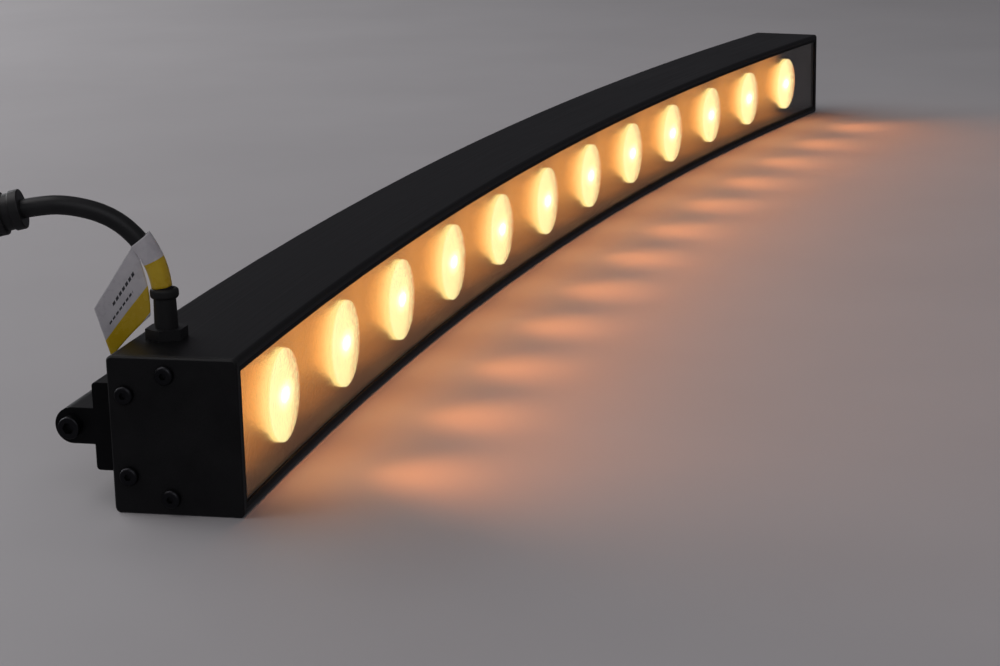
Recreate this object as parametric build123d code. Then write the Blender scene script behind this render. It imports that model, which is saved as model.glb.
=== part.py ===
from build123d import *
import math
import os

# Curved linear LED light bar. A bent aluminium extrusion lies on its long side, with its hollow light
# face towards -Y. The cable end is at -X, and called left. Millimetres, +Z up.
#
# Most pieces are drawn in a station frame: x along the bar, y measured back from the light face,
# z up from the surface the bar rests on. Its own line says at which station s along the arc it goes.

# ---------------------------------------------------------------- driving dimensions
bar_length = 1000.0  # along the arc of the light face, over the end caps
bar_height = 60.0
bar_depth = 50.0
face_radius = 3565.0  # radius of the light face, whose centre lies in front of it
led_count = 12
led_pitch = 80.0
over = 1.0  # how far a cut runs past what it cuts

wall = 3.0
corner_radius = 2.0
cap_thickness = 2.5
cap_seal_thickness = 0.5

glass_front = 0.6
glass_thickness = 3.0
glass_edge_gap = 0.4  # from the edge of the glass to the extrusion
glass_edge_cover = 1.6  # how far the rubber seal laps over the edge of the glass
seal_depth = 4.2

web_front = 25.6  # the web across the extrusion, which carries the LED board and takes its heat
web_thickness = 4.0
board_thickness = 1.6
board_height = 38.0

slot_opening = 6.2  # T-slot along the rear face
slot_lip = 2.5
slot_width = 10.4
slot_depth = 6.0
slot_wall = 2.5

boss_radius = 3.5
boss_places = [(27.6, 6.5), (27.6, 53.5), (43.5, 14.5), (43.5, 45.5)]  # end cap screws, as (y, z)
cap_screw_radius = 2.0
cap_screw_length = 16.0
screw_clearance = 0.2  # between a screw and the hole it passes through

bracket_inset = 9.0  # from the end of the bar to the bracket
bracket_length = 90.0
bracket_height = 34.0
ear_length = 25.0
ear_block_depth = 10.0
base_plate = 5.0
knuckle_radius = 7.0
pivot_reach = 18.5  # from the rear face to the pivot
side_gap = 0.4
leaf_thickness = 4.0
leaf_length = 27.0
foot_hole_radius = 2.75
foot_hole_spacing = 24.0
foot_hole_drop = 18.0  # from the pivot to the holes
pivot_bolt_radius = 2.5
bolt_past_ear = 7.0
slot_screw_radius = 2.5
running_gap = 0.05
slot_screw_spacing = 20.0

gland_inset = 29.0  # from the end of the bar to the cable gland
gland_back = 37.0  # from the light face to the gland
gland_flange = 4.0
gland_nipple = 3.0
relief_height = 15.0
cable_bore = 2.4  # radius of the hole for the leads through the gland
cable_radius = 3.6
cable_heading = 20.2  # degrees from +Y towards -X, seen from above

# ---------------------------------------------------------------- what follows from them
mid_height = bar_height / 2
pivot_back = bar_depth + pivot_reach
housing_half = bar_length / 2 - cap_thickness - cap_seal_thickness
bracket_station = bar_length / 2 - bracket_inset - bracket_length / 2
foot_width = bracket_length - 2 * ear_length - 2 * side_gap
board_front = web_front - board_thickness
web_back = web_front + web_thickness
lens_front = seal_depth + 0.2
lens_back = board_front - 2.1
gland_station = gland_inset - bar_length / 2
gland_top = bar_height + gland_flange + relief_height

# The origin is under the middle of the bar's box, brackets included.
end_turn = bar_length / 2 / face_radius
inner_bracket_turn = (bracket_station - bracket_length / 2) / face_radius
box_front = face_radius * math.cos(end_turn)
box_back = (face_radius + pivot_back + knuckle_radius) * math.cos(inner_bracket_turn)
arc_centre_y = -(box_front + box_back) / 2


def station(s):
    """The frame at arc length s from the middle of the bar."""
    turn = math.degrees(s / face_radius)
    return Pos(0, arc_centre_y, 0) * Rot(0, 0, -turn) * Pos(0, face_radius, 0)


def along_arc(section, start, end):
    """Sweeps a section drawn in the YZ plane of the station frame along the arc, from start to end."""
    turn = math.degrees((end - start) / face_radius)
    placed = Pos(0, face_radius, 0) * section
    swept = revolve(placed, Axis.Z, revolution_arc=turn)
    return Pos(0, arc_centre_y, 0) * Rot(0, 0, -math.degrees(end / face_radius)) * swept


def area(y0, y1, z0, z1):
    """A rectangle in the YZ plane."""
    return Plane.YZ * Pos((y0 + y1) / 2, (z0 + z1) / 2) * Rectangle(y1 - y0, z1 - z0)


def arc_bar(y0, y1, z0, z1, start, end):
    """A rectangular strip that follows the arc."""
    return along_arc(area(y0, y1, z0, z1), start, end)


def block(x0, x1, y0, y1, z0, z1):
    """A box given by its limits."""
    size = (x1 - x0, y1 - y0, z1 - z0)
    return Pos((x0 + x1) / 2, (y0 + y1) / 2, (z0 + z1) / 2) * Box(*size)


def rod_y(radius, y0, y1, x=0.0, z=0.0):
    """A cylinder along y, from y0 to y1."""
    return Pos(x, (y0 + y1) / 2, z) * Rot(90, 0, 0) * Cylinder(radius, y1 - y0)


def rod_x(radius, x0, x1, y=0.0, z=0.0):
    """A cylinder along x, from x0 to x1."""
    return Pos((x0 + x1) / 2, y, z) * Rot(0, 90, 0) * Cylinder(radius, x1 - x0)


def rod_z(radius, z0, z1, x=0.0, y=0.0):
    """A cylinder along z, from z0 to z1."""
    return Pos(x, y, (z0 + z1) / 2) * Cylinder(radius, z1 - z0)


def outline():
    """The outside of the extrusion's section."""
    shape = RectangleRounded(bar_depth, bar_height, corner_radius)
    return Plane.YZ * Pos(bar_depth / 2, mid_height) * shape


def chambers():
    """The hollows of the extrusion's section: the optical trough, the wiring chamber and the T-slot."""
    trough = area(-over, web_front, wall, bar_height - wall)
    wiring = area(web_back, bar_depth - wall, wall, bar_height - wall)
    slot_half = slot_width / 2 + slot_wall
    slot_floor = bar_depth - slot_depth - slot_wall
    wiring -= area(slot_floor, bar_depth, mid_height - slot_half, mid_height + slot_half)
    for y, z in boss_places:
        boss = Plane.YZ * Pos(y, z) * Circle(boss_radius)
        trough -= boss
        wiring -= boss
        to_wall = math.copysign(boss_radius, z - mid_height)
        if y < web_back:
            wiring -= area(y - 1, y + 1, min(z, z + to_wall), max(z, z + to_wall))
        else:
            wiring -= area(y, bar_depth - wall, z - boss_radius, z + boss_radius)
    return trough, wiring


def t_slot():
    """The section of the groove along the rear face."""
    lip = bar_depth - slot_lip
    mouth = area(lip - over, bar_depth + over, mid_height - slot_opening / 2, mid_height + slot_opening / 2)
    floor = bar_depth - slot_depth
    return mouth + area(floor, lip, mid_height - slot_width / 2, mid_height + slot_width / 2)


# ---------------------------------------------------------------- housing, glass and end caps
def led_stations():
    first = -led_pitch * (led_count - 1) / 2
    return [first + led_pitch * i for i in range(led_count)]


def board_screw_stations():
    """Screws between every other pair of lenses."""
    return [s + led_pitch / 2 for s in led_stations()[::2]]


lead_hole_station = led_stations()[0] - 30.0
lead_hole_radius = 3.0
board_screw_radius = 1.5
board_screw_tip = 0.6  # of the web left ahead of its screw holes
gland_thread_radius = 5.0


def housing():
    trough, wiring = chambers()
    section = outline() - trough - wiring - t_slot()
    body = along_arc(section, -housing_half, housing_half)
    in_chamber = bar_height - 10
    body -= station(gland_station) * rod_z(gland_thread_radius, in_chamber, bar_height + over, 0, gland_back)
    lead_hole = rod_y(lead_hole_radius, web_front - over, web_back + over, 0, mid_height)
    body -= station(lead_hole_station) * lead_hole
    for s in board_screw_stations():
        hole = rod_y(board_screw_radius, web_front - over, web_back - board_screw_tip, 0, mid_height)
        body -= station(s) * hole
    for end in (-1, 1):
        for y, z in boss_places:
            hole = rod_x(cap_screw_radius, -cap_screw_length, cap_screw_length, y, z)
            body -= station(end * housing_half) * hole
    return body


def front_glass():
    edge = wall + glass_edge_gap
    half = housing_half - glass_edge_gap
    return arc_bar(glass_front, glass_front + glass_thickness, edge, bar_height - edge, -half, half)


def glass_seal():
    """A rubber frame with a groove that holds the edge of the glass."""
    lap = wall + glass_edge_gap + glass_edge_cover
    end_lap = 1.2
    ring = arc_bar(0, seal_depth, wall, bar_height - wall, -housing_half, housing_half)
    inner = housing_half - end_lap
    ring -= arc_bar(-over, seal_depth + over, lap, bar_height - lap, -inner, inner)
    return ring - front_glass()


def end_cap(end):
    plate = extrude(outline(), amount=cap_thickness, dir=(end, 0, 0))
    plate = Pos(end * cap_seal_thickness, 0, 0) * plate
    rim = plate.faces().sort_by(Axis.X)[-1 if end > 0 else 0]
    plate = chamfer(rim.edges(), 0.6)
    for y, z in boss_places:
        reach = cap_seal_thickness + cap_thickness + over
        plate -= rod_x(cap_screw_radius + screw_clearance, -reach, reach, y, z)
    return station(end * housing_half) * plate


def end_seal(end):
    trough, wiring = chambers()
    section = outline() - trough - wiring - t_slot()
    section += area(0, seal_depth, wall, bar_height - wall)
    sheet = extrude(section, amount=cap_seal_thickness, dir=(end, 0, 0))
    for y, z in boss_places:
        reach = cap_seal_thickness + over
        sheet -= rod_x(cap_screw_radius + screw_clearance, -reach, reach, y, z)
    return station(end * housing_half) * sheet


def button_screw(radius, head_radius, head_height, length, socket):
    """A button-head screw along +y, with the seat of its head at y = 0 and the head on the -y side."""
    head = rod_y(head_radius, -head_height, 0)
    crown = head.faces().sort_by(Axis.Y)[0]
    rounding = socket_depth = head_height * 0.6
    head = fillet(crown.edges(), rounding)
    recess = extrude(Plane.XZ * RegularPolygon(socket, 6), amount=socket_depth + over, dir=(0, 1, 0))
    head -= Pos(0, -head_height - over, 0) * recess
    return head + rod_y(radius, 0, length)


def end_screws():
    screws = []
    for end in (-1, 1):
        seat = cap_thickness + cap_seal_thickness
        for y, z in boss_places:
            screw = button_screw(cap_screw_radius, 3.6, 2.2, cap_screw_length, 1.4)
            screw = Pos(end * seat, y, z) * Rot(0, 0, 90 * end) * screw
            screws.append(station(end * housing_half) * screw)
    return screws


# ---------------------------------------------------------------- light engine
lens_flange_radius = 18.4
lens_flange_thickness = 2.8
lens_body_radius = 16.8
lens_base_radius = 6.4
lens_well_depth = 4.4
plate_front = lens_back + 0.1
plate_back = board_front - 0.2
trough_skin = 1.2
collar_radius = 12.6
collar_wall = 1.2
collar_front = 17.5
lead_window = 5.0
board_hole_radius = board_screw_radius + screw_clearance


def led_board():
    low = mid_height - board_height / 2
    half = housing_half - 4
    board = arc_bar(board_front, web_front, low, low + board_height, -half, half)
    for s in board_screw_stations():
        board -= station(s) * rod_y(board_hole_radius, board_front - over, web_front + over, 0, mid_height)
    lead_hole = rod_y(lead_hole_radius - 0.5, board_front - over, web_front + over, 0, mid_height)
    return board - station(lead_hole_station) * lead_hole


def led():
    """A ceramic chip package under a silicone dome."""
    half = 2.5
    top = board_front - 1.2
    base = block(-half, half, top, board_front, mid_height - half, mid_height + half)
    dome = Pos(0, top, mid_height) * Sphere(1.9)
    return base + (dome & block(-half, half, top - half, board_front, mid_height - half, mid_height + half))


def lens():
    """A total-reflection collimator, turned about the y axis: a flanged cup with a well over its LED."""
    shoulder = lens_front + lens_flange_thickness
    rim = [(0, lens_front), (lens_flange_radius, lens_front), (lens_flange_radius, shoulder),
           (lens_body_radius, shoulder)]
    base = (lens_base_radius, lens_back)
    bulge = (13.2, 13.9)  # a point on the cup's side, as (radius, y)
    line = Polyline(*rim) + ThreePointArc(rim[-1], bulge, base)
    line += Polyline(base, (0, lens_back), rim[0])
    body = revolve(make_face(line), Axis.Y)
    well = Pos(0, lens_back - lens_well_depth / 2, 0) * Rot(90, 0, 0) * Cone(4.6, 4.1, lens_well_depth)
    return Pos(0, 0, mid_height) * (body - well)


def lens_frame():
    """A moulded trough that stands on the LED board and locates each lens in a collar."""
    low = wall + 0.2
    high = bar_height - low
    half = housing_half - 0.6
    front, back = plate_front - over, plate_back + over
    skin = trough_skin
    trough = arc_bar(lens_front, plate_back, low, high, -half, half)
    trough -= arc_bar(lens_front - over, plate_front, low + skin, high - skin, -half + skin, half - skin)
    for s in led_stations():
        collar = rod_y(collar_radius + collar_wall, collar_front, plate_front + 0.5, 0, mid_height)
        collar -= rod_y(collar_radius, collar_front - over, plate_front, 0, mid_height)
        trough += station(s) * collar
        trough -= station(s) * rod_y(lens_base_radius - 0.4, front, back, 0, mid_height)
    for s in board_screw_stations():
        trough -= station(s) * rod_y(board_hole_radius, front, back, 0, mid_height)
    low, high = mid_height - lead_window, mid_height + lead_window
    return trough - station(lead_hole_station) * block(-lead_window, lead_window, front, back, low, high)


def board_screws():
    screw = button_screw(board_screw_radius, 2.8, 2.0, web_back - 1.2 - plate_front, 1.1)
    seat = plate_front - 0.03
    return [station(s) * Pos(0, seat, mid_height) * screw for s in board_screw_stations()]


# ---------------------------------------------------------------- driver in the wiring chamber
driver_station = -330.0
driver_half = 85.0
driver_half_height = 20.0
driver_front = 33.0
driver_back = driver_front + board_thickness
driver_post_x = 78.0
driver_post_z = 15.0
post_radius = 2.8
terminal_z = 7.0
wire_radius = 0.9


def driver_board():
    low, high = mid_height - driver_half_height, mid_height + driver_half_height
    board = block(-driver_half, driver_half, driver_front, driver_back, low, high)
    for x in (-driver_post_x, driver_post_x):
        for dz in (-driver_post_z, driver_post_z):
            z = mid_height + dz
            board -= rod_y(board_screw_radius + 0.1, driver_front - over, driver_back + over, x, z)
    return station(driver_station) * board


def driver_posts():
    """A stand-off under each corner of the driver board, with its screw."""
    drop = driver_post_x ** 2 / 2 / (face_radius + web_back)
    posts = []
    for x in (-driver_post_x, driver_post_x):
        for dz in (-driver_post_z, driver_post_z):
            z = mid_height + dz
            post = rod_y(post_radius, web_back - drop + 0.1, driver_front, x, z)
            post += rod_y(board_screw_radius, driver_front, driver_back, x, z)
            post += rod_y(post_radius - 0.1, driver_back, driver_back + 1.8, x, z)
            posts.append(station(driver_station) * post)
    return posts


def driver_parts():
    """The larger components: terminals, chokes, capacitors and power transistors."""
    back = driver_back
    parts = []
    for dz in (-terminal_z, terminal_z):
        parts.append(block(-82, -72, back, back + 5.5, mid_height + dz - 4, mid_height + dz + 4))
    for x in (-52, -24):
        parts.append(rod_y(6.0, back, back + 4.4, x, mid_height - 9))
    for x in (-50, -34, -18):
        parts.append(rod_z(2.7, mid_height + 1, mid_height + 11, x, back + 2.75))
    for x in (4, 20, 36):
        parts.append(block(x - 3.5, x + 3.5, back, back + 2.4, mid_height - 4, mid_height + 3))
    parts.append(block(50, 68, back, back + 4.2, mid_height - 8, mid_height + 8))
    return [station(driver_station) * part for part in parts]


def wire(points, radius):
    """A thin insulated lead through points given in the gland's station frame."""
    path = FilletPolyline(*points, radius=4.0)
    return sweep(Plane(origin=path @ 0, z_dir=path % 0) * Circle(radius), path=path)


def inner_leads():
    """Two supply leads from the cable to the driver, and two output leads to the LED board."""
    back = driver_back + 2.6
    frame = station(gland_station)
    offset = driver_station - driver_half - gland_station
    to_terminal = offset + 3.0
    led_hole = lead_hole_station - gland_station
    leads = []
    for side in (-1, 1):
        top = (side * 1.1, gland_back, bar_height - 3)
        bend = (side * 1.1, gland_back, mid_height + terminal_z + side * 2)
        leads.append(wire([top, bend, (to_terminal, back, mid_height + terminal_z + side * 2)], wire_radius))
        z = mid_height - terminal_z + side * 2
        start = (to_terminal, back, z)
        turn = (led_hole, back, z)
        lift = (led_hole, back, mid_height + side * 1.2)
        end = (led_hole, board_front - 0.6, mid_height + side * 1.2)
        leads.append(wire([start, turn, lift, end], wire_radius))
    return [frame * lead for lead in leads]


# ---------------------------------------------------------------- gland and strain relief
def hexagon_z(across_flats, z0, z1, x=0.0, y=0.0):
    prism = extrude(RegularPolygon(across_flats / 2, 6, major_radius=False), amount=z1 - z0)
    return Pos(x, y, z0) * prism


def gland_body():
    """A threaded gland with a hexagon flange, and a nipple that the strain relief is pressed on."""
    flange_top = bar_height + gland_flange
    nipple_top = flange_top + gland_nipple
    thread_end = bar_height - 9
    body = hexagon_z(14, bar_height, flange_top, 0, gland_back)
    body += rod_z(gland_thread_radius - 0.1, thread_end, bar_height, 0, gland_back)
    body += rod_z(cable_radius, flange_top, nipple_top, 0, gland_back)
    body -= rod_z(cable_bore, thread_end - over, nipple_top + over, 0, gland_back)
    return station(gland_station) * body


def gland_locknut():
    top = bar_height - wall - 0.2
    low = top - 3.6
    nut = rod_z(5.7, low, top, 0, gland_back) & hexagon_z(10.9, low, top, 0, gland_back)
    nut -= rod_z(gland_thread_radius - 0.1, low - over, top + over, 0, gland_back)
    return station(gland_station) * nut


def strain_relief():
    """A rubber sleeve, slightly tapered, with a collar round its mouth."""
    low = bar_height + gland_flange
    collar = 3.8
    sleeve = Pos(0, gland_back, (low + gland_top) / 2) * Cone(4.5, 4.15, gland_top - low)
    ring = rod_z(5.4, gland_top - collar, gland_top, 0, gland_back)
    ring = fillet(ring.edges().filter_by(GeomType.CIRCLE), 1.2)
    sleeve += ring
    sleeve -= rod_z(cable_radius, low - over, gland_top + over, 0, gland_back)
    return station(gland_station) * sleeve


# ---------------------------------------------------------------- cable, its label and its connector
heading = math.radians(cable_heading)
away = Vector(-math.sin(heading), math.cos(heading), 0)
cable_exit = (station(gland_station) * Pos(0, gland_back, gland_top)).position

# The cable's route in its own upright plane: (distance out from the gland, height over the gland's mouth).
cable_route = [(0, -12), (0, 3.5), (7.6, 18.6), (18.6, 28.3), (34.6, 32.7), (47.6, 31.8), (55.2, 30.2)]


def on_route(out, up):
    return cable_exit + away * out + Vector(0, 0, up)


def route_radii():
    """Each corner's arc is as large as its two runs allow."""
    points = [on_route(*p) for p in cable_route]
    radii = []
    for before, corner, after in zip(points, points[1:], points[2:]):
        shorter = min((corner - before).length, (after - corner).length)
        half_turn = math.radians((corner - before).get_angle(after - corner)) / 2
        radii.append(0.45 * shorter / math.tan(half_turn))
    return radii


def cable_path():
    return FilletPolyline(*[on_route(*p) for p in cable_route], radius=route_radii())


def tube(path, radius):
    return sweep(Plane(origin=path @ 0, z_dir=path % 0) * Circle(radius), path=path)


def cable():
    return tube(cable_path(), cable_radius)


# The corners of the label's tail, as (distance out, height), with its lower edge just clear of the bar.
label_tail = [(10.6, 16.4), (26.2, -6.8), (21.3, -26.2), (15.2, -19.2), (12.4, -17.2), (5.9, -10.6), (5.9, 0.4),
              (4.0, 2.0)]
label_film = 0.3
label_top = (8.2, 18.4)  # where the wrap ends, on the cable's middle line


def cable_label():
    """A printed film wrapped round the cable above the gland, its tail hanging behind the bar."""
    bends = cable_path().edges().sort_by_distance(on_route(0, 0))[:4]
    inside = Wire(bends)
    wrap = tube(inside, cable_radius + label_film) - tube(inside, cable_radius)
    wrap = split(wrap, bisect_by=Plane(origin=on_route(0, 0.4), z_dir=(0, 0, 1)), keep=Keep.TOP)
    end = Plane(origin=on_route(*label_top), z_dir=on_route(*cable_route[3]) - on_route(*cable_route[1]))
    wrap = split(wrap, bisect_by=end, keep=Keep.BOTTOM)
    tail = Plane(origin=cable_exit, x_dir=away, z_dir=away.cross(Vector(0, 0, 1)))
    flag = extrude(tail * Polygon(*label_tail, align=None), amount=label_film / 2, both=True)
    return wrap + (flag - tube(cable_path(), cable_radius))


connector_start = 5.0  # how far the cable goes into the connector
connector_cap_radius = 7.5
cap_length = 4.0
stem_radius = 5.4  # the cap's stem, pressed into the body
core_radius = 5.2  # the insert and the bore that holds it
neck_radius = 6.9
grip_radius = 8.2
grip_start, grip_end = 7.0, 20.5
nose_radius = 6.7
flange_radius = 7.6  # round the body's nose, which the coupling ring turns behind
flange_start, flange_end = 26.2, 28.2
body_end = 31.0
contact_turns = [0, 90, 180, 270]
contact_circle = 2.6
contact_radius = 1.1
coupling_radius = 10.0
coupling_start, coupling_end = 20.9, 37.5


def connector_frame():
    """x, y across and z along the connector, away from the cable, from the rear of its cap."""
    last = on_route(*cable_route[-1])
    along = (last - on_route(*cable_route[-2])).normalized()
    return Plane(origin=last - along * connector_start, z_dir=along)


def connector_cap():
    """The clamping nut at the rear, with the stem that the body is pressed on."""
    cap = fillet(rod_z(connector_cap_radius, 0, cap_length).edges().filter_by(GeomType.CIRCLE), 0.5)
    cap += rod_z(stem_radius, cap_length, 2 * cap_length)
    return cap - rod_z(cable_radius, -over, 2 * cap_length + over)


def connector_body():
    """A neck, a grip with 12 flutes, and a nose with the flange that holds the coupling ring."""
    grip = fillet(rod_z(grip_radius, grip_start, grip_end).edges().filter_by(GeomType.CIRCLE), 0.6)
    for i in range(12):
        grip -= Rot(0, 0, 30 * i) * rod_z(0.9, grip_start + 2, grip_end - 2, grip_radius + 0.3, 0)
    body = rod_z(neck_radius, cap_length, grip_start) + grip + rod_z(nose_radius, grip_end, body_end)
    body += rod_z(flange_radius, flange_start, flange_end)
    body -= rod_z(stem_radius, cap_length - over, 2 * cap_length + 0.2)
    return body - rod_z(core_radius, 2 * cap_length, body_end + over)


def connector_insert():
    """The moulded nose that holds the contacts."""
    low, high = 10.0, 37.0
    nose = rod_z(core_radius, low, high)
    nose = fillet(nose.faces().sort_by(Axis.Z)[-1].edges(), 0.5)
    for turn in contact_turns:
        nose -= Rot(0, 0, turn) * rod_z(contact_radius, low - over, high + over, contact_circle, 0)
    return nose


def connector_contacts():
    """Sockets, hollow at the front."""
    low, high = 12.0, 36.0
    contact = rod_z(contact_radius, low, high) - rod_z(0.6, high - 12, high + over)
    return [Rot(0, 0, turn) * Pos(contact_circle, 0, 0) * contact for turn in contact_turns]


def connector_seal():
    """An O-ring round the nose, against the end of the body."""
    section = 0.85
    return Pos(0, 0, body_end + section + 0.05) * Torus(core_radius + section, section)


def coupling_ring():
    """A knurled ring that turns freely behind the body's flange and draws the mating half up."""
    ring = rod_z(coupling_radius, coupling_start, coupling_end)
    ring = fillet(ring.edges().filter_by(GeomType.CIRCLE), 0.7)
    for i in range(24):
        groove = rod_z(0.7, coupling_start + 2.1, coupling_end - 2, coupling_radius + 0.2, 0)
        ring -= Rot(0, 0, 15 * i) * groove
    step = flange_start - 0.4
    ring -= rod_z(nose_radius + 0.3, coupling_start - over, step + 0.2)
    return ring - rod_z(flange_radius + 0.35, step, coupling_end + over)


# ---------------------------------------------------------------- swivel brackets, drawn for the left end
def bracket_base():
    """A block with an ear at each end, bolted to the T-slot."""
    half = bracket_length / 2
    low = mid_height - bracket_height / 2
    high = low + bracket_height
    plate = block(-half, half, bar_depth, bar_depth + base_plate, low, high)
    for end in (-1, 1):
        x0 = min(end * half, end * (half - ear_length))
        x1 = x0 + ear_length
        ear = block(x0, x1, bar_depth, bar_depth + ear_block_depth, low, high)
        ear += block(x0, x1, bar_depth, pivot_back, mid_height - knuckle_radius, mid_height + knuckle_radius)
        ear += rod_x(knuckle_radius, x0, x1, pivot_back, mid_height)
        plate += ear
    outer = [e for e in plate.edges().filter_by(Axis.X) if e.center().Y > bar_depth + 1]
    outer = [e for e in outer if abs(e.center().Z - mid_height) > bracket_height / 2 - 1]
    plate = fillet(outer, 1.5)
    plate -= rod_x(pivot_bolt_radius + running_gap, -half - over, half + over, pivot_back, mid_height)
    for side in (-1, 1):
        x = side * slot_screw_spacing / 2
        hole_radius = slot_screw_radius + screw_clearance
        plate -= rod_y(hole_radius, bar_depth - over, bar_depth + base_plate + over, x, mid_height)
    return plate


def bracket_foot():
    """The foot folds down against the bar; it has two holes for the user's screws."""
    half = foot_width / 2
    front = pivot_back - knuckle_radius + 0.1
    foot = rod_x(knuckle_radius, -half, half, pivot_back, mid_height)
    leaf = block(-half, half, front, front + leaf_thickness, mid_height - leaf_length, mid_height)
    toe = [e for e in leaf.edges().filter_by(Axis.Y) if e.center().Z < mid_height - 1]
    foot += fillet(toe, 5.0)
    foot -= rod_x(pivot_bolt_radius + running_gap, -half - over, half + over, pivot_back, mid_height)
    for side in (-1, 1):
        x = side * foot_hole_spacing / 2
        z = mid_height - foot_hole_drop
        foot -= rod_y(foot_hole_radius, front - over, front + leaf_thickness + over, x, z)
    return foot


def pivot_bolt():
    """A socket-head bolt along x, its head against the outer ear."""
    half = bracket_length / 2
    head_radius, head_height = 4.25, 4.6
    head = rod_x(head_radius, -half - head_height, -half)
    head = fillet(head.faces().sort_by(Axis.X)[0].edges(), 0.6)
    socket = extrude(Plane.YZ * RegularPolygon(2.3, 6), amount=3.0, dir=(1, 0, 0))
    head -= Pos(-half - 5, 0, 0) * socket
    bolt = head + rod_x(pivot_bolt_radius, -half, half + bolt_past_ear)
    return Pos(0, pivot_back, mid_height) * bolt


def pivot_nut():
    """A washer and a hexagon nut made as one, as a flanged locknut."""
    half = bracket_length / 2
    washer = 1.2
    nut = extrude(Plane.YZ * RegularPolygon(4.0, 6, major_radius=False), amount=4.0, dir=(1, 0, 0))
    nut = Pos(half + washer, 0, 0) * nut + rod_x(5.6, half, half + washer)
    nut -= rod_x(pivot_bolt_radius, half - over, half + bolt_past_ear + over)
    return Pos(0, pivot_back, mid_height) * nut


def slot_screws():
    screws = []
    for side in (-1, 1):
        screw = button_screw(slot_screw_radius, 4.4, 2.6, base_plate + 5.0, 1.6)
        x = side * slot_screw_spacing / 2
        screws.append(Pos(x, bar_depth + base_plate, mid_height) * Rot(0, 0, 180) * screw)
    return screws


def slot_nuts():
    """Square nuts held in the T-slot."""
    half = slot_width / 2 - 0.3
    thickness = 3.0
    back = bar_depth - slot_lip - 0.3
    nuts = []
    for side in (-1, 1):
        x = side * slot_screw_spacing / 2
        nut = block(x - half, x + half, back - thickness, back, mid_height - half, mid_height + half)
        nuts.append(nut - rod_y(slot_screw_radius, back - thickness - over, back + over, x, mid_height))
    return nuts


def at_bracket(pieces, end):
    """Places pieces drawn for the left bracket at either end."""
    if end > 0:
        pieces = [piece.mirror(Plane.YZ) for piece in pieces]
    return [station(end * bracket_station) * piece for piece in pieces]


# ---------------------------------------------------------------- write the parts
def write(name, shapes):
    if not isinstance(shapes, list):
        shapes = [shapes]
    solids = [solid for shape in shapes for solid in shape.solids()]
    whole = solids[0] if len(solids) == 1 else Compound(children=solids)
    export_step(whole, os.path.join("parts", name + ".step"))
    return whole


def main():
    os.makedirs("parts", exist_ok=True)
    write("housing", housing())
    write("front_glass", front_glass())
    write("glass_seal", glass_seal())
    for side, end in (("left", -1), ("right", 1)):
        write("end_cap_" + side, end_cap(end))
        write("end_seal_" + side, end_seal(end))
        write("bracket_base_" + side, at_bracket([bracket_base()], end))
        write("bracket_foot_" + side, at_bracket([bracket_foot()], end))
    write("end_screws", end_screws())
    write("led_board", led_board())
    write("lens_frame", lens_frame())
    write("board_screws", board_screws())
    for number, s in enumerate(led_stations(), start=1):
        write("lens_%02d" % number, station(s) * lens())
        write("led_%02d" % number, station(s) * led())
    write("driver_board", driver_board())
    write("driver_posts", driver_posts())
    write("driver_parts", driver_parts())
    write("inner_leads", inner_leads())
    write("gland_body", gland_body())
    write("gland_locknut", gland_locknut())
    write("strain_relief", strain_relief())
    lead = write("cable", cable())
    write("cable_label", cable_label())
    connector = connector_frame().location
    write("connector_cap", connector * connector_cap())
    write("connector_body", connector * connector_body())
    write("connector_insert", connector * connector_insert())
    write("connector_contacts", [connector * piece for piece in connector_contacts()])
    write("connector_seal", connector * connector_seal())
    write("coupling_ring", connector * coupling_ring())
    for name, maker in (("pivot_bolts", pivot_bolt), ("pivot_nuts", pivot_nut)):
        write(name, at_bracket([maker()], -1) + at_bracket([maker()], 1))
    for name, maker in (("slot_screws", slot_screws), ("slot_nuts", slot_nuts)):
        write(name, at_bracket(maker(), -1) + at_bracket(maker(), 1))

    length = cable_path().length
    ratio = lead.volume / (math.pi * cable_radius ** 2 * length)
    print("cable radii", [round(r, 1) for r in route_radii()])
    print("cable length %.1f, volume over section times length %.4f" % (length, ratio))
    for side, end in (("left", -1), ("right", 1)):
        pivot = (station(end * bracket_station) * Pos(0, pivot_back, mid_height)).position
        print("pivot", side, pivot, "turn", math.degrees(end * bracket_station / face_radius))
    frame = connector_frame()
    print("connector", frame.origin, "along", frame.z_dir)


main()
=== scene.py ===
import math

import bmesh
import bpy
from mathutils import Matrix, Vector


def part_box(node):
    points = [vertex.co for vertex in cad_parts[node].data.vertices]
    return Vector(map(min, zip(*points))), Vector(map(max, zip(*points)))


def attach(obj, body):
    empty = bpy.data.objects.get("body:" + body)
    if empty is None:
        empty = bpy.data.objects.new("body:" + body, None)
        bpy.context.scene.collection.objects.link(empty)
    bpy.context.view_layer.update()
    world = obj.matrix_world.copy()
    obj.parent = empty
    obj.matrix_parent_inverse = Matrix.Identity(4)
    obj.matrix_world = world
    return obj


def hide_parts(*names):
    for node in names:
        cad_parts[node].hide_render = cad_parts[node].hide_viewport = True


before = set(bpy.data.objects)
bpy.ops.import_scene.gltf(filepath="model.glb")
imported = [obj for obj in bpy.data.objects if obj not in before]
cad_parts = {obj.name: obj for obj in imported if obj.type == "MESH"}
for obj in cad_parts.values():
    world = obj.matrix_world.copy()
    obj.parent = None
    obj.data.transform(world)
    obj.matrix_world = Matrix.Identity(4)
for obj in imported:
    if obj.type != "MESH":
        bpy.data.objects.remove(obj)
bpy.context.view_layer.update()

# ---------------------------------------------------------------- the bar's arc, in metres
FACE_RADIUS = 3.565
BAR_DEPTH = 0.050
LED_COUNT = 12
LED_NAMES = ["%02d" % n for n in range(1, LED_COUNT + 1)]

housing_low, housing_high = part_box("housing")
ARC_CENTRE_Y = housing_high.y - BAR_DEPTH - FACE_RADIUS
MID_HEIGHT = (housing_low.z + housing_high.z) / 2


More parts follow.
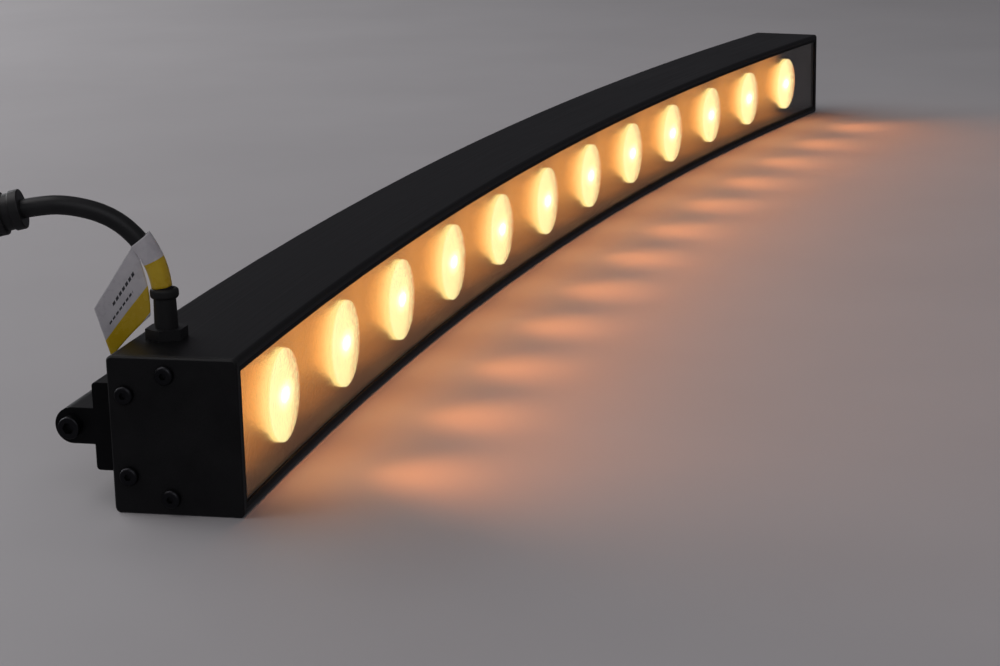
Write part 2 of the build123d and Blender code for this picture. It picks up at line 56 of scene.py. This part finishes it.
def node_centre(name):
    low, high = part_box(name)
    return (low + high) / 2


def turn_at(point):
    """How far a point lies round the arc, in radians from the middle of the bar."""
    return math.atan2(point.x, point.y - ARC_CENTRE_Y)


def at_turn(turn, back, height):
    """The point that far round the arc, back from the light face, at that height."""
    radius = FACE_RADIUS + back
    return Vector((radius * math.sin(turn), ARC_CENTRE_Y + radius * math.cos(turn), height))


# ---------------------------------------------------------------- camera
CAMERA_PLACE = Vector((-1.1855, -0.3974, 0.2641))
CAMERA_HEADING = math.radians(20.176)  # from +X towards +Y
CAMERA_DOWN = math.radians(14.341)
CAMERA_ROLL = math.radians(1.280)
CAMERA_LENS = 79.57


def make_camera():
    data = bpy.data.cameras.new("camera")
    data.lens = CAMERA_LENS
    data.sensor_width = 36.0
    data.clip_start = 0.01
    camera = bpy.data.objects.new("camera", data)
    bpy.context.scene.collection.objects.link(camera)
    level = Vector((math.cos(CAMERA_HEADING), math.sin(CAMERA_HEADING), 0))
    forward = level * math.cos(CAMERA_DOWN) - Vector((0, 0, math.sin(CAMERA_DOWN)))
    right = forward.cross(Vector((0, 0, 1))).normalized()
    up = right.cross(forward)
    across = right * math.cos(CAMERA_ROLL) - up * math.sin(CAMERA_ROLL)
    above = right * math.sin(CAMERA_ROLL) + up * math.cos(CAMERA_ROLL)
    turn = Matrix((across, above, -forward)).transposed()
    camera.matrix_world = Matrix.Translation(CAMERA_PLACE) @ turn.to_4x4()
    bpy.context.scene.camera = camera


make_camera()

# ---------------------------------------------------------------- cable and its label
CABLE_RADIUS = 0.0036
CABLE_HEADING = math.radians(20.2)  # from +Y towards -X, seen from above
AWAY = Vector((-math.sin(CABLE_HEADING), math.cos(CABLE_HEADING), 0))
ACROSS = AWAY.cross(Vector((0, 0, 1)))
relief_low, relief_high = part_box("strain_relief")
GLAND_MOUTH = Vector(((relief_low.x + relief_high.x) / 2, (relief_low.y + relief_high.y) / 2, relief_high.z))

# The cable's route in its own upright plane: (distance out from the gland, height over the gland's mouth).
CABLE_ROUTE = [(0, -0.012), (0, 0.0035), (0.0076, 0.0186), (0.0186, 0.0283), (0.0346, 0.0327),
               (0.0476, 0.0318), (0.0552, 0.0302)]


def on_route(out, up, side=0.0):
    """The point that far out from the gland, over its mouth, and beside the cable's plane."""
    return GLAND_MOUTH + AWAY * out + Vector((0, 0, up)) + ACROSS * side


def make_cable():
    data = bpy.data.curves.new("power_cable", "CURVE")
    data.dimensions = "3D"
    spline = data.splines.new("NURBS")
    spline.points.add(len(CABLE_ROUTE) - 1)
    for point, place in zip(spline.points, CABLE_ROUTE):
        point.co = (*on_route(*place), 1)
        point.radius = CABLE_RADIUS
    spline.order_u = 3
    spline.use_endpoint_u = True
    spline.use_smooth = True
    data.resolution_u = 24
    data.bevel_depth = 1.0  # times each point's radius
    data.bevel_resolution = 8
    data.use_fill_caps = True
    cable = bpy.data.objects.new("power_cable", data)
    bpy.context.scene.collection.objects.link(cable)
    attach(cable, "bar")
    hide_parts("cable")
    return cable


def middle_line(cable):
    """The points down the middle of the cable."""
    bare = bpy.data.objects.new("bare", cable.data.copy())
    bare.data.bevel_depth = 0
    bare.data.use_fill_caps = False
    mesh = bpy.data.meshes.new_from_object(bare)
    points = [v.co.copy() for v in mesh.vertices]
    bpy.data.meshes.remove(mesh)
    bpy.data.curves.remove(bare.data)
    return points


def add_grid(bm, rows, layers):
    """Adds a surface through rows of (place, across, along), all rows as long as each other."""
    made = []
    for row in rows:
        line = []
        for place, across, along in row:
            vertex = bm.verts.new(place)
            vertex[layers[0]] = across
            vertex[layers[1]] = along
            line.append(vertex)
        made.append(line)
    for first, second in zip(made, made[1:]):
        for i in range(len(first) - 1):
            bm.faces.new((first[i], first[i + 1], second[i + 1], second[i]))


WRAP_RADIUS = CABLE_RADIUS + 0.0003
WRAP_LOW, WRAP_HIGH = 0.0004, 0.0184  # heights over the gland's mouth
WRAP_SLACK = 0.0014  # how far the film stands off the outside of the bend at its top
WRAP_STEPS = 40
WRAP_PRINT_FOOT = 0.93  # the wrap's foot lies in the print's yellow band
WRAP_PRINT_SPAN = 1.1  # down the print, over the wrap's height
WRAP_PRINT_ALONG = 0.02  # short of the grey bars
CREASE_HEIGHT = 0.00035
CREASE_TURN = 4.1  # radians round the cable, from the inside of its bend
CREASE_WIDTH = 0.22


def label_wrap_rows(line):
    """Rings round the cable; the film stands off on the outside of the bend and has one crease."""
    points = [p for p in line if WRAP_LOW <= p.z - GLAND_MOUTH.z <= WRAP_HIGH]
    rows = []
    for i, point in enumerate(points):
        rise = i / (len(points) - 1)
        ahead = points[min(i + 1, len(points) - 1)] - points[max(i - 1, 0)]
        inside = ACROSS.cross(ahead).normalized()
        if inside.dot(AWAY) < 0:
            inside = -inside
        row = []
        for k in range(WRAP_STEPS + 1):
            turn = 2 * math.pi * k / WRAP_STEPS
            loose = WRAP_SLACK * rise * max(0.0, -math.cos(turn)) ** 1.5
            crease = CREASE_HEIGHT * math.exp(-((turn - CREASE_TURN) / CREASE_WIDTH) ** 2)
            radius = WRAP_RADIUS + loose + crease
            place = point + inside * math.cos(turn) * radius + ACROSS * math.sin(turn) * radius
            row.append((place, min(WRAP_PRINT_FOOT, (1 - rise) * WRAP_PRINT_SPAN), WRAP_PRINT_ALONG))
        rows.append(row)
    return rows


TAIL_INNER = [(0.0106, 0.0164), (0.0046, 0.0035), (0.0057, -0.0106)]  # a bend down the cable's side
TAIL_OUTER = [(0.0262, -0.0068), (0.0213, -0.0262)]
TAIL_STEPS = 26
TAIL_BOW = 0.0011  # sideways, most in the middle of its lower edge
TAIL_CURL = 0.0022  # the other way, at its outer upper corner
TAIL_ARCH = 0.0006  # upwards, along its lower edge
FILM_THICKNESS = 0.00014


def label_tail_rows():
    """The free end of the film: a slanting flag that bows a little towards its middle."""
    rows = []
    for i in range(TAIL_STEPS + 1):
        v = i / TAIL_STEPS
        shares = ((1 - v) ** 2, 2 * v * (1 - v), v ** 2)
        inner = [sum(s * p[k] for s, p in zip(shares, TAIL_INNER)) for k in (0, 1)]
        outer = [(1 - v) * TAIL_OUTER[0][k] + v * TAIL_OUTER[1][k] for k in (0, 1)]
        row = []
        for j in range(TAIL_STEPS + 1):
            u = j / TAIL_STEPS
            out = (1 - u) * inner[0] + u * outer[0]
            up = (1 - u) * inner[1] + u * outer[1]
            swell = math.sin(math.pi * u)
            bow = TAIL_BOW * swell * (0.4 + 0.6 * v) - TAIL_CURL * u * u * (1 - v)
            row.append((on_route(out, up + TAIL_ARCH * swell * v, bow), v, u))
        rows.append(row)
    return rows


def make_label(cable):
    bm = bmesh.new()
    layers = [bm.verts.layers.float.new(name) for name in ("across", "along")]
    add_grid(bm, label_wrap_rows(middle_line(cable)), layers)
    add_grid(bm, label_tail_rows(), layers)
    mesh = bpy.data.meshes.new("cable_label_film")
    bm.to_mesh(mesh)
    bm.free()
    for face in mesh.polygons:
        face.use_smooth = True
    label = bpy.data.objects.new("cable_label_film", mesh)
    bpy.context.scene.collection.objects.link(label)
    film = label.modifiers.new("film", "SOLIDIFY")
    film.thickness = FILM_THICKNESS
    film.offset = 1.0
    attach(label, "bar")
    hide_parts("cable_label")
    return label


power_cable = make_cable()
cable_label = make_label(power_cable)


# ---------------------------------------------------------------- small node helpers
class Nodes:
    """A material under construction, with short names for its nodes."""

    def __init__(self, name):
        self.material = bpy.data.materials.new(name)
        self.material.use_nodes = True
        self.tree = self.material.node_tree
        self.shader = self.tree.nodes["Principled BSDF"]

    def add(self, kind, **values):
        node = self.tree.nodes.new(kind)
        for key, value in values.items():
            setattr(node, key, value)
        return node

    def link(self, source, target):
        self.tree.links.new(source, target)

    def put(self, target, value):
        """Links a socket to the target, or sets it to a plain value."""
        if isinstance(value, bpy.types.NodeSocket):
            self.link(value, target)
        else:
            target.default_value = value

    def math(self, operation, a, b=0.0):
        node = self.add("ShaderNodeMath", operation=operation)
        self.put(node.inputs[0], a)
        self.put(node.inputs[1], b)
        return node.outputs[0]

    def radius(self, a, b):
        """How far the point (a, b) is from zero."""
        squares = self.math("ADD", self.math("MULTIPLY", a, a), self.math("MULTIPLY", b, b))
        return self.math("SQRT", squares)

    def between(self, value, low, high):
        """1 where the value lies between low and high, and 0 elsewhere."""
        above = self.math("GREATER_THAN", value, low)
        return self.math("MULTIPLY", above, self.math("LESS_THAN", value, high))

    def position(self):
        return self.add("ShaderNodeTexCoord").outputs["Object"]

    def split(self, vector):
        node = self.add("ShaderNodeSeparateXYZ")
        self.link(vector, node.inputs[0])
        return node.outputs

    def join(self, x, y, z):
        node = self.add("ShaderNodeCombineXYZ")
        for target, value in zip(node.inputs, (x, y, z)):
            self.put(target, value)
        return node.outputs[0]

    def soft_edges(self, radius=0.0005):
        """A normal that rounds every edge, and how near an edge a point is."""
        bevel = self.add("ShaderNodeBevel", samples=4)
        bevel.inputs["Radius"].default_value = radius
        flat = self.add("ShaderNodeNewGeometry").outputs["Normal"]
        dot = self.add("ShaderNodeVectorMath", operation="DOT_PRODUCT")
        self.link(bevel.outputs[0], dot.inputs[0])
        self.link(flat, dot.inputs[1])
        return bevel.outputs[0], self.span(dot.outputs["Value"], 0.80, 0.99, 1.0, 0.0)

    def attribute(self, name):
        return self.add("ShaderNodeAttribute", attribute_name=name).outputs["Fac"]

    def arc_position(self):
        """(distance round the arc, distance back from the light face, height), in metres."""
        x, y, z = self.split(self.position())
        out = self.math("SUBTRACT", y, ARC_CENTRE_Y)
        turn = self.math("ARCTAN2", x, out)
        along = self.math("MULTIPLY", turn, FACE_RADIUS)
        back = self.math("SUBTRACT", self.radius(x, out), FACE_RADIUS)
        return self.join(along, back, z)

    def stretched(self, vector, scale):
        node = self.add("ShaderNodeMapping")
        self.link(vector, node.inputs["Vector"])
        node.inputs["Scale"].default_value = scale
        return node.outputs[0]

    def noise(self, vector, scale, detail):
        node = self.add("ShaderNodeTexNoise")
        self.link(vector, node.inputs["Vector"])
        node.inputs["Scale"].default_value = scale
        node.inputs["Detail"].default_value = detail
        node.inputs["Roughness"].default_value = 0.55
        return node.outputs["Fac"]

    def ramp(self, value, stops):
        """stops is a list of (place, colour or grey)."""
        node = self.add("ShaderNodeValToRGB")
        self.link(value, node.inputs[0])
        elements = node.color_ramp.elements
        while len(elements) < len(stops):
            elements.new(0.5)
        for element, (place, colour) in zip(elements, stops):
            element.position = place
            grey = isinstance(colour, (int, float))
            element.color = (colour, colour, colour, 1) if grey else (*colour, 1)
        return node.outputs[0]

    def span(self, value, low, high, to_low=0.0, to_high=1.0):
        """Maps low..high to to_low..to_high, and holds the end values beyond."""
        node = self.add("ShaderNodeMapRange")
        node.clamp = True
        self.link(value, node.inputs[0])
        for index, number in zip((1, 2, 3, 4), (low, high, to_low, to_high)):
            node.inputs[index].default_value = number
        return node.outputs[0]

    def vary(self, noise, low=0.0, high=1.0):
        """Maps a noise, most of which lies between 0.3 and 0.7, to low..high."""
        return self.span(noise, 0.3, 0.7, low, high)

    def mix(self, share, first, second):
        node = self.add("ShaderNodeMix", data_type="RGBA")
        self.put(node.inputs["Factor"], share)
        for key, value in (("A", first), ("B", second)):
            target = [s for s in node.inputs if s.name == key and s.type == "RGBA"][0]
            self.put(target, value if isinstance(value, bpy.types.NodeSocket) else (*value, 1))
        return [s for s in node.outputs if s.type == "RGBA"][0]

    def bump(self, height, distance, strength, normal=None):
        node = self.add("ShaderNodeBump")
        self.link(height, node.inputs["Height"])
        node.inputs["Distance"].default_value = distance
        node.inputs["Strength"].default_value = strength
        if normal is not None:
            self.link(normal, node.inputs["Normal"])
        return node.outputs[0]

    def set(self, **values):
        """Sets shader sockets by name, with underscores for spaces."""
        for key, value in values.items():
            target = self.shader.inputs[key.replace("_", " ")]
            if isinstance(value, tuple) and len(value) == 3 and target.type == "RGBA":
                value = (*value, 1)
            self.put(target, value)


# ---------------------------------------------------------------- materials
MOULD_GRAIN = 2200.0
METAL_GRAIN = 700.0


def anodised(name, colour, along_arc=True):
    """Black anodised aluminium: fine draw lines along the extrusion, faint cloudiness, and edges lightened
    partly as wear and partly as a painted highlight.
    """
    m = Nodes(name)
    place = m.arc_position() if along_arc else m.position()
    lines = m.noise(m.stretched(place, (6, 2600, 2600)), 1.0, 3.0)
    clouds = m.noise(m.stretched(place, (9, 30, 30)), 1.0, 5.0)
    dust = m.noise(place, 900.0, 2.0)
    rounded, edge = m.soft_edges()
    tone = m.mix(m.span(clouds, 0.35, 0.7), colour, tuple(c * 1.8 + 0.001 for c in colour))
    tone = m.mix(m.span(dust, 0.7, 0.82, 0.0, 0.3), tone, (0.06, 0.058, 0.056))
    # edges lightened in patches: part wear, part painted highlight
    edge_wear_and_highlight = m.math("MULTIPLY", edge, m.span(clouds, 0.4, 0.65))
    tone = m.mix(m.math("MULTIPLY", edge_wear_and_highlight, 0.5), tone, (0.10, 0.10, 0.105))
    rough = m.math("ADD", m.vary(lines, 0.32, 0.44), m.vary(clouds, -0.03, 0.05))
    m.set(Base_Color=tone, Metallic=0.4, Roughness=rough, Specular_IOR_Level=0.35)
    m.set(Normal=m.bump(lines, 0.00002, 0.5, rounded))
    return m.material


def powder_coat(name, colour):
    """Black powder coat with a fine orange-peel texture, lightened a little along its edges, partly as
    rubbing and partly as a painted highlight.
    """
    m = Nodes(name)
    place = m.position()
    peel = m.noise(place, 1400.0, 2.0)
    patches = m.noise(place, 60.0, 4.0)
    rounded, edge = m.soft_edges(0.0004)
    tone = m.mix(m.span(patches, 0.3, 0.75), colour, tuple(c * 1.6 + 0.001 for c in colour))
    # edges lightened in patches: part rubbing, part painted highlight
    tone = m.mix(m.math("MULTIPLY", edge, m.span(patches, 0.4, 0.7, 0.0, 0.45)), tone, (0.08, 0.08, 0.083))
    m.set(Base_Color=tone, Roughness=m.vary(patches, 0.42, 0.55), Specular_IOR_Level=0.4)
    m.set(Normal=m.bump(peel, 0.00006, 0.6, rounded))
    return m.material


def moulded(name, colour, roughness):
    """Moulded plastic or rubber with a fine grain."""
    m = Nodes(name)
    place = m.position()
    fine = m.noise(place, MOULD_GRAIN, 2.0)
    broad = m.noise(place, MOULD_GRAIN / 30, 3.0)
    tone = m.mix(m.vary(broad), colour, tuple(min(1.0, c * 1.35 + 0.003) for c in colour))
    m.set(Base_Color=tone, Roughness=m.vary(broad, roughness - 0.06, roughness + 0.08))
    m.set(Normal=m.bump(fine, 0.00004, 0.6))
    return m.material


def metal(name, colour, roughness):
    """Plated or oxidised metal with fine turning marks and a little staining."""
    m = Nodes(name)
    place = m.position()
    marks = m.noise(m.stretched(place, (1, 1, 5)), METAL_GRAIN, 3.0)
    stains = m.noise(place, METAL_GRAIN / 6, 4.0)
    tone = m.mix(m.span(stains, 0.35, 0.75), colour, tuple(c * 0.72 for c in colour))
    rough = m.vary(marks, roughness - 0.06, roughness + 0.1)
    m.set(Base_Color=tone, Metallic=1.0, Roughness=rough)
    m.set(Normal=m.bump(marks, 0.00002, 0.4))
    return m.material


def window_glass():
    """Glass with a lightly frosted, stippled face, which melts what lies deep behind it into a glow."""
    m = Nodes("window_glass")
    smear = m.noise(m.arc_position(), 38.0, 3.0)
    stipple = m.noise(m.position(), 900.0, 2.0)
    m.set(Base_Color=(0.985, 0.99, 0.98), Roughness=m.span(smear, 0.3, 0.75, 0.09, 0.12))
    m.set(Transmission_Weight=1.0, IOR=1.46)
    m.set(Normal=m.bump(stipple, 0.00008, 0.5))
    return m.material


# The colours of the lamps' light, painted on the lenses and the trough as glow, from the middle of a lens
# out to the trough.
WHITE_HOT = (1.0, 1.0, 0.90)
PALE = (1.0, 0.87, 0.38)
CREAM = (1.0, 0.62, 0.28)
PEACH = (1.0, 0.40, 0.14)
GOLD = (1.0, 0.70, 0.22)
AMBER = (1.0, 0.38, 0.07)
ORANGE = (0.95, 0.34, 0.06)
RUST_GLOW = (0.72, 0.19, 0.03)
DARK = (0.20, 0.05, 0.008)

LENS_STATIONS = [turn_at(node_centre("lens_" + number)) * FACE_RADIUS for number in LED_NAMES]
LED_PITCH = (LENS_STATIONS[-1] - LENS_STATIONS[0]) / (LED_COUNT - 1)
LENS_RADIUS = 0.0184
LENS_FRONT = 0.0044  # back from the light face
TROUGH_BACK = 0.022
TROUGH_HALF_HEIGHT = 0.0255  # inside its walls, about
HOT_SPOT_STRETCH = 1.6  # along the bar, over its height
LENS_POWER = 4.6
TROUGH_POWER = 1.05
CHIP_POWER = 6.0


def off_axis(m, along):
    """How far round the arc a point is from the middle of the nearest lens."""
    from_edge = m.math("SUBTRACT", along, LENS_STATIONS[0] - LED_PITCH / 2)
    share = m.math("FRACT", m.math("DIVIDE", from_edge, LED_PITCH))
    return m.math("MULTIPLY", m.math("SUBTRACT", share, 0.5), LED_PITCH)


def lens_glow():
    """Lit acrylic, its light painted on as emission: a white-hot middle, a pale yellow face that turns
    mottled and peach towards its far rim, and a gold to rust glow of spilt light down the side of the cup."""
    m = Nodes("lens_glow")
    along, back, height = m.split(m.arc_position())
    aside = off_axis(m, along)
    above = m.math("SUBTRACT", height, MID_HEIGHT)
    radius = m.radius(aside, above)
    spot = m.radius(m.math("DIVIDE", aside, HOT_SPOT_STRETCH), above)
    # painted light: the mottled peach towards the far rim is the pattern of the lamp's light through the
    # lens
    glow_mottle = m.noise(m.position(), 420.0, 3.0)
    farther = m.span(aside, -0.004, 0.016)
    rim = m.math("MULTIPLY", m.span(radius, 0.006, LENS_RADIUS), farther)
    shade = m.math("ADD", rim, m.math("MULTIPLY", m.vary(glow_mottle, -0.22, 0.30), farther))
    face = m.ramp(shade, [(0.0, PALE), (0.22, PALE), (0.42, CREAM), (0.60, PALE), (0.80, CREAM),
                          (1.0, PEACH)])
    heat = m.ramp(m.span(spot, 0.0, LENS_RADIUS), [(0.0, 1.0), (0.08, 0.8), (0.20, 0.20), (0.38, 0.0)])
    face = m.mix(heat, face, WHITE_HOT)
    hot = m.math("ADD", m.math("MULTIPLY", heat, 0.6), m.span(shade, 0.10, 0.95, 0.33, 0.215))
    # painted spill: the cup's side glows gold to rust, dimmer deeper in
    deep = m.span(back, LENS_FRONT, TROUGH_BACK)
    side = m.ramp(deep, [(0.0, GOLD), (0.14, GOLD), (0.45, AMBER), (1.0, RUST_GLOW)])
    on_side = m.span(back, LENS_FRONT + 0.0002, LENS_FRONT + 0.0008)
    side_power = m.ramp(deep, [(0.0, 0.36), (0.16, 0.33), (0.5, 0.24), (1.0, 0.12)])
    power = m.mix(on_side, hot, side_power)
    m.set(Base_Color=(0.5, 0.42, 0.25), Roughness=0.2, Emission_Color=m.mix(on_side, face, side))
    m.set(Emission_Strength=m.math("MULTIPLY", power, LENS_POWER))
    return m.material


def frame_glow():
    """The lens trough: dark moulding with the lamps' amber spill painted on as a glow, in a belt along its
    middle.
    """
    m = Nodes("frame_glow")
    along, back, height = m.split(m.arc_position())
    off_middle = m.math("ABSOLUTE", m.math("SUBTRACT", height, MID_HEIGHT))
    # painted spill of the lamps' light: brightest in the middle belt, near each lens and deep in the trough,
    # none past the last lens
    belt = m.ramp(m.span(off_middle, 0.0, TROUGH_HALF_HEIGHT),
                  [(0.0, 1.0), (0.32, 0.95), (0.55, 0.72), (0.80, 0.50), (1.0, 0.42)])
    aside = m.math("ABSOLUTE", off_axis(m, along))
    near = m.span(aside, 0.012, LED_PITCH / 2, 1.0, 0.45)
    last = LENS_STATIONS[-1]
    within = m.span(m.math("ABSOLUTE", along), last + 0.019, last + 0.030, 1.0, 0.0)
    depth = m.ramp(m.span(back, 0.006, TROUGH_BACK), [(0.0, 0.0), (0.35, 0.10), (0.7, 0.55), (1.0, 1.0)])
    power = m.math("MULTIPLY", m.math("MULTIPLY", belt, near), m.math("MULTIPLY", within, depth))
    grain = m.noise(m.position(), 1500.0, 2.0)
    m.set(Base_Color=(0.010, 0.007, 0.005), Roughness=m.vary(grain, 0.5, 0.65))
    m.set(Specular_IOR_Level=0.25)
    m.set(Emission_Color=m.ramp(belt, [(0.0, DARK), (0.12, RUST_GLOW), (0.6, ORANGE), (1.0, AMBER)]))
    m.set(Emission_Strength=m.math("MULTIPLY", power, TROUGH_POWER))
    m.set(Normal=m.bump(grain, 0.00003, 0.5))
    return m.material


# The label's rows of grey bars: from and to down the film, and from and to along it.
BAR_ROWS = [(0.22, 0.275, 0.16, 0.70), (0.41, 0.45, 0.30, 0.86)]


def label_print():
    """Glossy film, printed white with a yellow band and rows of plain grey bars."""
    m = Nodes("label_print")
    across = m.attribute("across")
    along = m.attribute("along")
    slant = m.math("SUBTRACT", across, m.math("MULTIPLY", along, 0.08))
    foot = m.math("SUBTRACT", across, m.math("MULTIPLY", along, 0.2))
    yellow = m.math("MULTIPLY", m.math("GREATER_THAN", slant, 0.58), m.math("LESS_THAN", foot, 0.95))
    dashes = m.math("GREATER_THAN", m.math("FRACT", m.math("MULTIPLY", along, 13.0)), 0.3)
    bars = None
    for low, high, start, end in BAR_ROWS:
        bar = m.math("MULTIPLY", m.between(slant, low, high), m.between(along, start, end))
        bars = bar if bars is None else m.math("ADD", bars, bar)
    wrinkle = m.noise(m.position(), 160.0, 3.0)
    white = m.mix(m.vary(wrinkle), (0.74, 0.72, 0.76), (0.86, 0.84, 0.87))
    gold = m.mix(m.vary(wrinkle), (0.80, 0.52, 0.015), (0.90, 0.62, 0.03))
    tone = m.mix(m.math("MULTIPLY", bars, dashes), m.mix(yellow, white, gold), (0.06, 0.06, 0.07))
    m.set(Base_Color=tone, Roughness=m.vary(wrinkle, 0.22, 0.34), Coat_Weight=0.3)
    m.set(Normal=m.bump(wrinkle, 0.0004, 0.25))
    return m.material


def phosphor():
    """A lit LED package, behind its lens."""
    m = Nodes("phosphor")
    spot = m.noise(m.position(), 2500.0, 2.0)
    m.set(Base_Color=(0.95, 0.85, 0.5), Roughness=0.35)
    m.set(Emission_Color=m.mix(m.vary(spot), (1.0, 0.86, 0.5), (1.0, 0.95, 0.75)))
    m.set(Emission_Strength=CHIP_POWER)
    return m.material


BLACK = (0.006, 0.006, 0.0068)
GLAND_BLACK = (0.013, 0.013, 0.014)
PLUG_BLACK = (0.014, 0.014, 0.015)

finishes = {
    "housing": anodised("anodised_housing", BLACK),
    "front_glass": window_glass(),
    "glass_seal": moulded("glazing_rubber", (0.005, 0.005, 0.005), 0.7),
    "end_screws": metal("black_oxide", (0.05, 0.05, 0.055), 0.36),
    "pivot_bolts": metal("black_oxide_bolts", (0.06, 0.06, 0.065), 0.32),
    "pivot_nuts": metal("zinc_nuts", (0.58, 0.58, 0.6), 0.28),
    "slot_screws": metal("zinc_screws", (0.6, 0.6, 0.62), 0.28),
    "slot_nuts": metal("zinc_slot_nuts", (0.56, 0.56, 0.58), 0.34),
    "board_screws": metal("zinc_board_screws", (0.6, 0.6, 0.6), 0.3),
    "led_board": moulded("solder_mask_white", (0.75, 0.74, 0.7), 0.35),
    "lens_frame": frame_glow(),
    "driver_board": moulded("solder_mask_green", (0.02, 0.12, 0.05), 0.35),
    "driver_posts": metal("brass", (0.7, 0.5, 0.2), 0.3),
    "driver_parts": moulded("component_epoxy", (0.03, 0.03, 0.032), 0.45),
    "inner_leads": moulded("lead_sleeve", (0.35, 0.02, 0.02), 0.5),
    "gland_body": moulded("gland_nylon", GLAND_BLACK, 0.42),
    "gland_locknut": moulded("locknut_nylon", GLAND_BLACK, 0.45),
    "strain_relief": moulded("relief_rubber", (0.012, 0.012, 0.0125), 0.55),
    "cable": moulded("cable_jacket", (0.016, 0.016, 0.017), 0.42),
    "cable_label": moulded("label_film", (0.72, 0.72, 0.7), 0.3),
    "connector_cap": moulded("connector_nylon", PLUG_BLACK, 0.4),
    "connector_body": moulded("connector_shell", PLUG_BLACK, 0.42),
    "connector_insert": moulded("connector_core", (0.03, 0.03, 0.032), 0.4),
    "connector_contacts": metal("gilt_contacts", (0.9, 0.62, 0.22), 0.22),
    "connector_seal": moulded("seal_rubber", (0.25, 0.06, 0.02), 0.5),
    "coupling_ring": moulded("coupling_nylon", PLUG_BLACK, 0.38),
}
for side in ("left", "right"):
    finishes["end_cap_" + side] = powder_coat("end_cap_coat_" + side, BLACK)
    finishes["end_seal_" + side] = moulded("end_seal_rubber_" + side, (0.015, 0.015, 0.015), 0.6)
    finishes["bracket_base_" + side] = anodised("bracket_anodised_" + side, BLACK, False)
    finishes["bracket_foot_" + side] = anodised("foot_anodised_" + side, BLACK, False)
lens_finish = lens_glow()
phosphor_finish = phosphor()
for number in LED_NAMES:
    finishes["lens_" + number] = lens_finish
    finishes["led_" + number] = phosphor_finish

finishes["power_cable"] = finishes["cable"]
finishes["cable_label_film"] = label_print()

for name, finish in finishes.items():
    piece = bpy.data.objects[name]
    piece.data.materials.clear()
    piece.data.materials.append(finish)


# ---------------------------------------------------------------- light and floor
STREAK_COLOUR = (1.0, 0.31, 0.075)
STREAK_ENERGY = 0.36
STREAK_ANGLE = math.radians(88)
STREAK_DIP = 0.15  # down, for each unit outwards
WASH_COLOUR = (1.0, 0.33, 0.10)
WASH_ENERGY = 0.015
WASH_DIP = 0.9
WASH_SIZE = (0.07, 0.02)


def area_light(name, place, target, size, energy, colour):
    data = bpy.data.lights.new(name, "AREA")
    data.shape = "RECTANGLE"
    data.size, data.size_y = size
    data.energy = energy
    data.color = colour
    lamp = bpy.data.objects.new(name, data)
    bpy.context.scene.collection.objects.link(lamp)
    lamp.location = place
    lamp.rotation_euler = (Vector(target) - Vector(place)).to_track_quat("-Z", "Y").to_euler()
    return lamp


def lamp_beams():
    """In front of each lens, a spot that draws a streak on the floor and a small area light that washes
    the floor beside the bar."""
    for number in LED_NAMES:
        turn = turn_at(node_centre("lens_" + number))
        outward = Vector((-math.sin(turn), -math.cos(turn), 0))
        data = bpy.data.lights.new("beam_" + number, "SPOT")
        data.energy = STREAK_ENERGY
        data.color = STREAK_COLOUR
        data.spot_size = STREAK_ANGLE
        data.spot_blend = 1.0
        data.shadow_soft_size = 0.014
        lamp = bpy.data.objects.new("beam_" + number, data)
        bpy.context.scene.collection.objects.link(lamp)
        lamp.location = at_turn(turn, -0.003, MID_HEIGHT)
        lamp.rotation_euler = (outward - Vector((0, 0, STREAK_DIP))).to_track_quat("-Z", "Y").to_euler()
        start = at_turn(turn, -0.004, MID_HEIGHT)
        target = start + outward - Vector((0, 0, WASH_DIP))
        wash = area_light("wash_" + number, start, target, WASH_SIZE, WASH_ENERGY, WASH_COLOUR)
        wash.visible_camera = False
        wash.visible_glossy = False
        wash.visible_transmission = False


def make_floor():
    bpy.ops.mesh.primitive_plane_add(size=12, location=(0, 0, 0))
    floor = bpy.context.object
    floor.name = "floor"
    floor.visible_glossy = False  # so that the pale floor doesn't veil the black bar and its window
    m = Nodes("floor_paper")
    mottled = m.noise(m.position(), 5.0, 3.0)
    tone = m.mix(m.vary(mottled), (0.62, 0.60, 0.61), (0.66, 0.64, 0.65))
    m.set(Base_Color=tone, Roughness=0.55)
    floor.data.materials.append(m.material)


def make_world():
    """A faint, slightly violet surround."""
    world = bpy.data.worlds.new("studio")
    bpy.context.scene.world = world
    world.use_nodes = True
    background = world.node_tree.nodes["Background"]
    background.inputs["Color"].default_value = (0.80, 0.78, 0.86, 1)
    background.inputs["Strength"].default_value = 0.08


make_floor()
area_light("key", (-0.6, 1.6, 2.2), (0, 0, 0), (2.4, 2.4), 20.0, (1.0, 0.97, 0.98))
area_light("fill", (-2.2, -1.2, 1.6), (0, 0, 0.03), (2.0, 2.0), 6.0, (0.96, 0.96, 1.0))
area_light("back", (0.4, 2.0, 0.9), (0, 0, 0.03), (2.2, 0.8), 16.0, (0.97, 0.98, 1.0))
lamp_beams()
make_world()
bpy.context.scene.view_settings.view_transform = "Standard"
